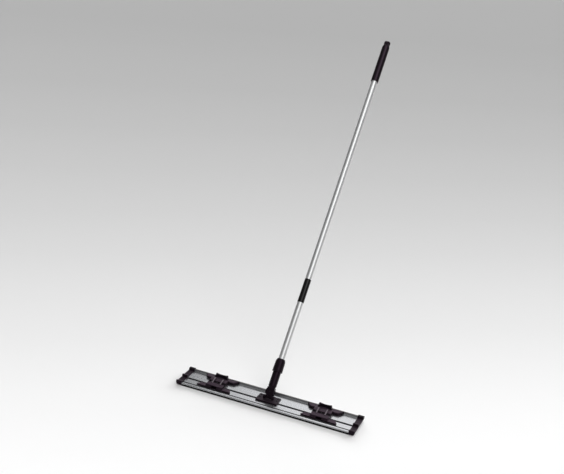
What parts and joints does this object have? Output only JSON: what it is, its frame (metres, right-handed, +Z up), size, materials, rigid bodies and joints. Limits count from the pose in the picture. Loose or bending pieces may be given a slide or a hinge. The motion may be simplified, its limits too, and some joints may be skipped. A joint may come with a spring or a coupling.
{
  "type": "flat mop",
  "caption": "Wide flat floor mop: an aluminium plate with end caps and sprung cloth clips, a two-axis joint and a long tube handle with a grip.",
  "frame": {"origin": "middle of the sole's underside, on the floor", "axes": "+X along the plate to the right as seen in use, +Y to the rear, where the handle leans, +Z up"},
  "size_m": [0.6, 0.9291, 1.0612],
  "materials": {
    "plate_aluminium": "satin anodised extrusion",
    "tube_aluminium": "bright drawn tube",
    "frame_plastic": "moulded, fine texture",
    "clip_plastic": "moulded, fine texture",
    "grip_plastic": "moulded, satin",
    "collet_plastic": "moulded",
    "sole_rubber": "ribbed sheet",
    "band_film": "plain film",
    "steel": "zinc plated",
    "spring_steel": "blackened wire",
    "black_rivet": "black"
  },
  "bodies": {
    "handle": {"handle_tube": "tube_aluminium", "handle_band": "band_film", "grip": "grip_plastic", "grip_cap": "grip_plastic"},
    "socket": {"handle_socket": "frame_plastic", "collet": "collet_plastic", "swing_pin": "steel"},
    "lock_nut": {"lock_nut": "frame_plastic"},
    "tilt_block": {"tilt_block": "frame_plastic"},
    "head": {"mop_plate": "plate_aluminium", "sole_pad": "sole_rubber", "end_cap_left": "frame_plastic", "end_cap_right": "frame_plastic", "cap_screws": "steel", "joint_base": "frame_plastic", "joint_rivets": "black_rivet", "tilt_pin": "steel", "clip_base_left": "clip_plastic", "clip_base_right": "clip_plastic", "clip_rivets": "black_rivet", "hinge_pin_left": "steel", "hinge_pin_right": "steel", "front_spring_left": "spring_steel", "front_spring_right": "spring_steel", "rear_spring_left": "spring_steel", "rear_spring_right": "spring_steel"},
    "front_jaw_left": {"front_jaw_left": "clip_plastic"},
    "front_jaw_right": {"front_jaw_right": "clip_plastic"},
    "rear_jaw_left": {"rear_jaw_left": "clip_plastic"},
    "rear_jaw_right": {"rear_jaw_right": "clip_plastic"}
  },
  "joints": [
    {"name": "handle_pull", "type": "slide", "parent": "handle", "child": "socket", "axis": [0, -0.6428, -0.766], "range_m": [0, 0.085]},
    {"name": "lock_nut_turn", "type": "hinge", "parent": "socket", "child": "lock_nut", "pos_m": [0, 0.05511, 0.08139], "axis": [0, 0.6428, 0.766], "range_deg": [0, 180]},
    {"name": "head_swing", "type": "hinge", "parent": "socket", "child": "tilt_block", "pos_m": [0, 0.01223, 0.03029], "axis": [0, 0.766, -0.6428], "range_deg": [-60, 60]},
    {"name": "head_tilt", "type": "hinge", "parent": "tilt_block", "child": "head", "pos_m": [0, 0.0015, 0.0175], "axis": [1, 0, 0], "range_deg": [-105, 25]},
    {"name": "front_jaw_left_open", "type": "hinge", "parent": "head", "child": "front_jaw_left", "pos_m": [-0.1775, -0.004, 0.016], "axis": [-1, 0, 0], "range_deg": [0, 50], "stiffness_Nm_per_rad": 0.3, "springref_deg": -28.65, "deforming": ["front_spring_left"]},
    {"name": "rear_jaw_left_open", "type": "hinge", "parent": "head", "child": "rear_jaw_left", "pos_m": [-0.1775, -0.004, 0.016], "axis": [1, 0, 0], "range_deg": [0, 50], "stiffness_Nm_per_rad": 0.3, "springref_deg": -28.65, "deforming": ["rear_spring_left"]},
    {"name": "front_jaw_right_open", "type": "hinge", "parent": "head", "child": "front_jaw_right", "pos_m": [0.1775, -0.004, 0.016], "axis": [-1, 0, 0], "range_deg": [0, 50], "stiffness_Nm_per_rad": 0.3, "springref_deg": -28.65, "deforming": ["front_spring_right"]},
    {"name": "rear_jaw_right_open", "type": "hinge", "parent": "head", "child": "rear_jaw_right", "pos_m": [0.1775, -0.004, 0.016], "axis": [1, 0, 0], "range_deg": [0, 50], "stiffness_Nm_per_rad": 0.3, "springref_deg": -28.65, "deforming": ["rear_spring_right"]}
  ]
}
